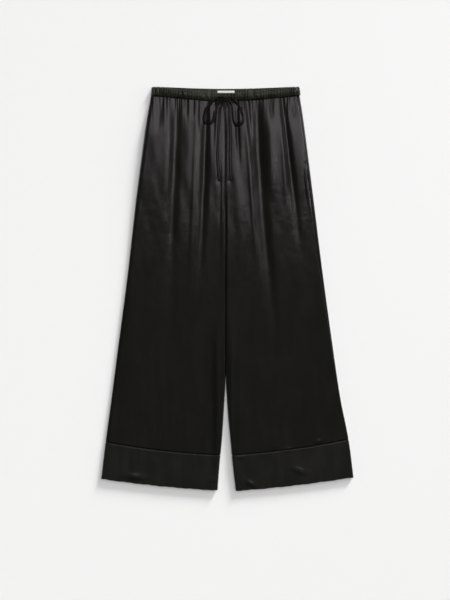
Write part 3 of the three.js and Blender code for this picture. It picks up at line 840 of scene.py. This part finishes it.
def waistband(face):
    """Outer and inner grids of the half of the casing that a face shows."""
    up = 1 if face == "front" else -1
    half = CASING / 2
    radius = (BAND_LEVEL["front"] - BAND_LEVEL["back"]) / 2
    middle = BAND_LEVEL["back"] + radius
    angle = np.radians(90) * np.linspace(0, 1, BAND_ROLL_COLUMNS, endpoint=False)
    flat = np.concatenate([0 * angle, np.linspace(0, 1, BAND_FLAT_COLUMNS), 0 * angle + 1])[None, :]
    turn = np.concatenate([angle, np.full(BAND_FLAT_COLUMNS, np.radians(90)), angle[::-1]])[None, :]
    sign = np.where(flat < 0.5, -1, 1)
    down = crowded(BAND_ROWS, 0.55)[:, None]
    rough = mix(-OUTLINE[0]["right"], OUTLINE[0]["left"], flat)
    drop = mix(waist_edge(rough, face), waist_seam(rough, face), down)
    drop = drop - EDGE_BUMP * gather_rise(rough, 0 * down) * (1 - down) ** 3
    starts = {side: SIDES[side] * (read_table(OUTLINE, side, drop) - half - radius) for side in SIDES}
    across = mix(starts["right"], starts["left"], flat) + sign * radius * np.cos(turn)
    height = middle + up * radius * np.sin(turn)
    outward = np.stack([sign * np.cos(turn) + 0 * drop, 0 * drop, up * np.sin(turn) + 0 * drop], axis=-1)
    points = np.stack([across, LENGTH / 2 - drop, height + 0 * drop], axis=-1)
    bulge = smooth(down, *RISES) * (1 - smooth(down, *FALLS))
    swell = bulge * PUFF + gather_rise(across, down) * np.sin(np.pi * down) ** 0.35
    edge = np.clip(BAND_EDGE - along_grid(points, 0)[0], 0, BAND_EDGE)
    folded = BAND_EDGE - np.sqrt(BAND_EDGE * BAND_EDGE - edge * edge)
    turned = folded + groove(along_grid(points, 0)[1])
    if face == "front":
        outer = half + swell - turned
        inner = half - folded * FOLD_INSIDE
    else:
        outer = half - folded * FOLD_INSIDE + 0 * swell
        label_ends = LABEL_SIZE[0] / 2 + LABEL_ROOM
        beside = smooth(np.abs(across - LABEL_ACROSS), label_ends, label_ends + LABEL_ROOM)
        inside = np.maximum(swell * INSIDE_SHARE, INSIDE_LOWEST)
        inner = half + inside * np.sin(turn) * beside - turned
    inner = inner + 0 * drop
    return points + outward * outer[..., None], points - outward * inner[..., None]


# Its base colour is lighter and greener than the legs' satin: painted sheen, for the light that the gathers
# of the casing catch.
casing_satin_painted_sheen = black_satin(
    "gathered_satin_painted_sheen", "#292d22", "#141511", roughness=0.34, crumple=0.8, streak=0.2
)
for face in ("back", "front"):
    outer, inner = waistband(face)
    band = wall_piece(f"satin_waistband_{face}", outer, inner, flip=face == "back")
    band.data.materials.append(casing_satin_painted_sheen)
    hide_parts(f"waistband_{face}")

# Drawcord
# A thin rouleau cord: a bias strip of the same satin, sewn into a tube and turned. It comes out of the casing
# at the front, where it is tied in a small bow, and its two tails end in knots.
BOW_KNOT = {"size": 1.35, "thickness": 3.8, "squash": 0.8, "lean": 0.2}
END_KNOT = {"size": 0.75, "thickness": 3, "squash": 1.0, "lean": 0.6}


def rouleau_satin_painted_shade():
    """The same satin turned into a narrow tube, coloured darker than the legs' satin: painted shade, for the
    shadow that the cord lies in. The bias threads wind round it, so its sheen runs along it in short slanting
    streaks: the bump draws them, and the same stripes in its colour are painted sheen."""
    material, tree, shader = new_material("black_rouleau_painted_shade")
    place = add(tree, "ShaderNodeTexCoord").outputs["Object"]
    slanted = add(tree, "ShaderNodeMapping", {"Vector": place, "Rotation": (0, 0, 0.8)}).outputs["Vector"]
    bias_mm = 0.8
    lines = {"Vector": slanted, "Scale": wave_scale(bias_mm), "Distortion": 2}
    bias = add(tree, "ShaderNodeTexWave", lines).outputs["Fac"]
    # Both tones are darker than the legs' satin: painted shade. The bias stripes between them are painted
    # sheen.
    colour = add(tree, "ShaderNodeMix", {"Factor": bias}, data_type="RGBA")
    colour.inputs[6].default_value = linear("#0b0a0a")
    colour.inputs[7].default_value = linear("#121111")
    tree.links.new(colour.outputs[2], shader.inputs["Base Color"])
    shader.inputs["Roughness"].default_value = 0.3
    shader.inputs["IOR"].default_value = 1.5
    tree.links.new(bump_of(tree, bias, 0.35, 0.2), shader.inputs["Normal"])
    return material


def front_top(across, drop):
    """Highest point of the cloth near each place on the front."""
    highest = np.zeros_like(across)
    for i in (-2, -1, 0, 1, 2):
        for j in (-2, -1, 0, 1, 2):
            x, d = across + i, drop + j
            band = BAND_LEVEL["front"] + CASING / 2 + PUFF + GATHER_RISE
            leg = front_height(x, d) + CLOTH / 2 + fine_relief(x, d)
            highest = np.maximum(highest, np.where(d < waist_seam(x, "front") + 1, band, leg))
    return highest


def tied_knot(name, centre, size, thickness, squash, lean):
    """A cord wound over and under itself in a trefoil, drawn tight."""
    turn = np.linspace(0, 2 * np.pi, 120, endpoint=False)
    across = np.sin(turn) + 2 * np.sin(2 * turn)
    down = (np.cos(turn) - 2 * np.cos(2 * turn)) * squash
    up = -np.sin(3 * turn) * 0.9
    path = np.stack([across, down, up], axis=1) * size * MM
    cos, sin = np.cos(lean), np.sin(lean)
    path[:, :2] = path[:, :2] @ np.array([[cos, sin], [-sin, cos]])
    return round_cord(name, path + centre, thickness * MM, closed=True)


def middle_of(node):
    low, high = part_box(node)
    return [(a + b) / 2 for a, b in zip(low, high)]


# The cord's satin is darker than the legs': painted shade.
cord_satin_painted_shade = rouleau_satin_painted_shade()
bow_knot = tied_knot("tied_bow_knot", middle_of("drawcord_knot"), **BOW_KNOT)
bow_knot.data.materials.append(cord_satin_painted_shade)
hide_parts("drawcord_knot")
for side in SIDES:
    end_knot = tied_knot(f"tied_end_{side}", middle_of(f"drawcord_end_{side}"), **END_KNOT)
    end_knot.data.materials.append(cord_satin_painted_shade)
    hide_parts(f"drawcord_end_{side}")
    for stretch, plan in CORD_PLANS[side].items():
        height = front_top(plan[:, 0], plan[:, 1]) + CORD / 2
        points = np.stack([plan[:, 0] + MIDDLE, LENGTH / 2 - plan[:, 1], height], axis=1) * MM
        cord = round_cord(f"rouleau_{stretch}_{side}", points, CORD * MM)
        cord.data.materials.append(cord_satin_painted_shade)
        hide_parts(f"drawcord_{stretch}_{side}")

# Floor and light
# A wide sheet of pale matt studio paper. The light comes from the upper right, and the satin mirrors a few
# oval soft boxes that hang above it and stand beside it.
FLOOR_REACH = 40  # m, so that no edge of it shows in a low view
FLOOR_SINKS = 0.0002
bpy.context.scene.view_settings.view_transform = "Standard"
floor_mesh = bpy.data.meshes.new("studio_floor")
corners = [(x * FLOOR_REACH, y * FLOOR_REACH, 0) for x, y in ((-1, -1), (1, -1), (1, 1), (-1, 1))]
floor_mesh.from_pydata(corners, [], [(0, 1, 2, 3)])
floor = bpy.data.objects.new("studio_floor", floor_mesh)
floor.location.z = -FLOOR_SINKS
bpy.context.collection.objects.link(floor)
paper, tree, shader = new_material("white_studio_paper")
shader.inputs["Base Color"].default_value = linear("#f1f2f1")
shader.inputs["Roughness"].default_value = 0.9
shader.inputs["Specular IOR Level"].default_value = 0.1
floor_mesh.materials.append(paper)

# Two suns that the satin doesn't mirror: a low soft one from the upper right, which draws the shadows, and a
# wide one above
SUNS = [
    {"name": "low_sun", "from": (0.5, 0.84, 0.21), "strength": 5.2, "softness": 13},
    {"name": "high_sun", "from": (0.4, 0.3, 1), "strength": 1.6, "softness": 100},
]
for sun in SUNS:
    light = bpy.data.lights.new(sun["name"], "SUN")
    light.energy = sun["strength"]
    light.angle = np.radians(sun["softness"])
    lamp = bpy.data.objects.new(sun["name"], light)
    lamp.rotation_euler = (-Vector(sun["from"])).to_track_quat("-Z", "Y").to_euler()
    lamp.visible_glossy = False
    bpy.context.collection.objects.link(lamp)

# Oval soft boxes, with places and aims in m. One without an aim shines straight down. The satin mirrors the
# ceiling panel from the waist to its middle, where the tongue ends that sheen softly. The dim ceiling greys
# the lower legs, the fold box lights folds that face right, and the four low boxes light the edges. The floor
# fill, which isn't mirrored, evens out the paper.
BOX_COLOUR = (1, 0.92, 0.95)
SOFT_BOXES = [
    {"name": "ceiling_panel", "place": (0.55, 1.67, 4.6), "size": (2.9, 1.3), "watts": 17},
    {"name": "ceiling_tongue", "place": (0.1, 0.76, 4.6), "size": (0.55, 0.8), "watts": 2.6},
    {"name": "dim_ceiling", "place": (0, -0.7, 4.6), "size": (2.2, 1.6), "watts": 0.8},
    {"name": "fold_box", "place": (1.3, 0.85, 4.6), "size": (0.22, 0.9), "watts": 6.5},
    {"name": "right_high", "place": (3.5, 1.6, 0.7), "aim": (0, 0.3, 0), "size": (1.4, 1.2), "watts": 34},
    {"name": "right_low", "place": (3.5, -0.2, 0.5), "aim": (0, 0, 0), "size": (1.8, 0.8), "watts": 9},
    {"name": "left_high", "place": (-3.5, 1.2, 0.6), "aim": (0, 0, 0), "size": (1.6, 1.0), "watts": 7},
    {"name": "left_low", "place": (-3.5, -0.7, 0.5), "aim": (0, 0, 0), "size": (1.8, 0.8), "watts": 8},
    {"name": "floor_fill", "place": (-0.9, -1.9, 3), "aim": (-0.3, -0.9, 0), "size": (2, 1), "watts": 8.5},
]
for box in SOFT_BOXES:
    light = bpy.data.lights.new(box["name"], "AREA")
    light.shape = "ELLIPSE"
    light.size, light.size_y = box["size"]
    light.energy = box["watts"]
    light.color = BOX_COLOUR
    lamp = bpy.data.objects.new(box["name"], light)
    lamp.location = box["place"]
    aim = box.get("aim", (*box["place"][:2], 0))
    lamp.rotation_euler = (Vector(aim) - Vector(box["place"])).to_track_quat("-Z", "Y").to_euler()
    lamp.visible_glossy = box["name"] != "floor_fill"
    bpy.context.collection.objects.link(lamp)

world = bpy.data.worlds.new("studio")
bpy.context.scene.world = world
world.use_nodes = True
world.node_tree.nodes["Background"].inputs["Color"].default_value = linear("#f6f7f8")
world.node_tree.nodes["Background"].inputs["Strength"].default_value = 0.025
